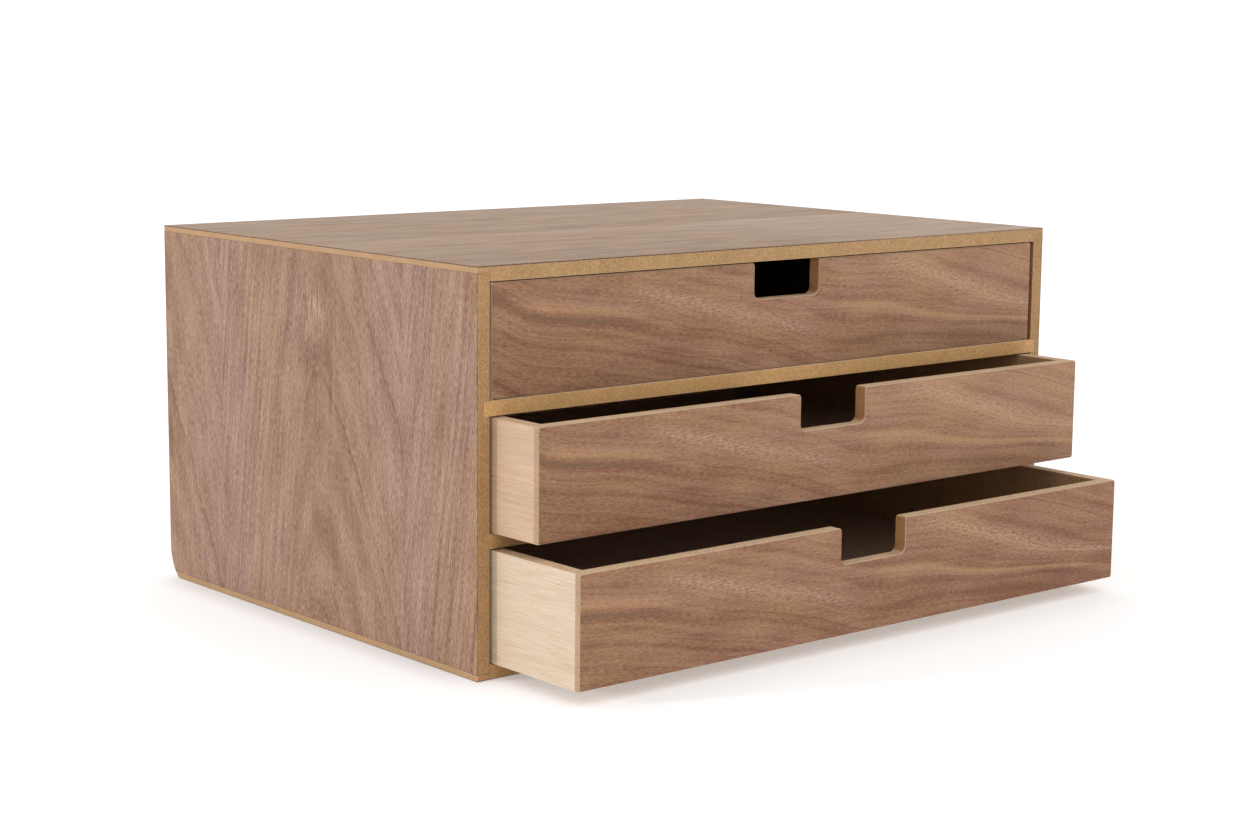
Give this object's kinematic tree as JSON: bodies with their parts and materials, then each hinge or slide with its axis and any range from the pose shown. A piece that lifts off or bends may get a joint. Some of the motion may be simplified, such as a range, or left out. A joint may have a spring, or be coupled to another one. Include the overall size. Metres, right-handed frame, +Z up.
{
  "type": "desktop drawer box",
  "caption": "Low walnut-veneered box with full-width drawers pulled by finger notches, for paper and stationery on a desk or a shelf.",
  "frame": {"origin": "middle of the box's footprint, on the surface that it stands on", "axes": "+X left to right seen from the front, +Y front to back, +Z up; the drawers pull out along -Y"},
  "size_m": [0.486, 0.4294, 0.24],
  "materials": {
    "fibreboard": "raw sanded fibreboard",
    "walnut_top": "satin walnut veneer",
    "walnut_sides": "satin walnut veneer",
    "walnut_fronts": "satin walnut veneer",
    "pale_veneer": "plain pale veneer",
    "thin_panel": "smooth thin fibreboard"
  },
  "bodies": {
    "carcass": {"left_side_panel": "fibreboard", "right_side_panel": "fibreboard", "top_panel": "fibreboard", "bottom_panel": "fibreboard", "upper_divider": "fibreboard", "lower_divider": "fibreboard", "back_panel": "thin_panel", "left_side_veneer": "walnut_sides", "right_side_veneer": "walnut_sides", "top_veneer": "walnut_top"},
    "top_drawer": {"top_drawer_front": "fibreboard", "top_drawer_front_veneer": "walnut_fronts", "top_drawer_left_side": "fibreboard", "top_drawer_left_side_veneer": "pale_veneer", "top_drawer_right_side": "fibreboard", "top_drawer_right_side_veneer": "pale_veneer", "top_drawer_back": "fibreboard", "top_drawer_floor": "thin_panel"},
    "middle_drawer": {"middle_drawer_front": "fibreboard", "middle_drawer_front_veneer": "walnut_fronts", "middle_drawer_left_side": "fibreboard", "middle_drawer_left_side_veneer": "pale_veneer", "middle_drawer_right_side": "fibreboard", "middle_drawer_right_side_veneer": "pale_veneer", "middle_drawer_back": "fibreboard", "middle_drawer_floor": "thin_panel"},
    "bottom_drawer": {"bottom_drawer_front": "fibreboard", "bottom_drawer_front_veneer": "walnut_fronts", "bottom_drawer_left_side": "fibreboard", "bottom_drawer_left_side_veneer": "pale_veneer", "bottom_drawer_right_side": "fibreboard", "bottom_drawer_right_side_veneer": "pale_veneer", "bottom_drawer_back": "fibreboard", "bottom_drawer_floor": "thin_panel"}
  },
  "joints": [
    {"name": "top_drawer_slide", "type": "slide", "parent": "carcass", "child": "top_drawer", "axis": [0, -1, 0], "range_m": [0, 0.25]},
    {"name": "middle_drawer_slide", "type": "slide", "parent": "carcass", "child": "middle_drawer", "axis": [0, -1, 0], "range_m": [-0.0432, 0.2068]},
    {"name": "bottom_drawer_slide", "type": "slide", "parent": "carcass", "child": "bottom_drawer", "axis": [0, -1, 0], "range_m": [-0.0804, 0.1696]}
  ]
}
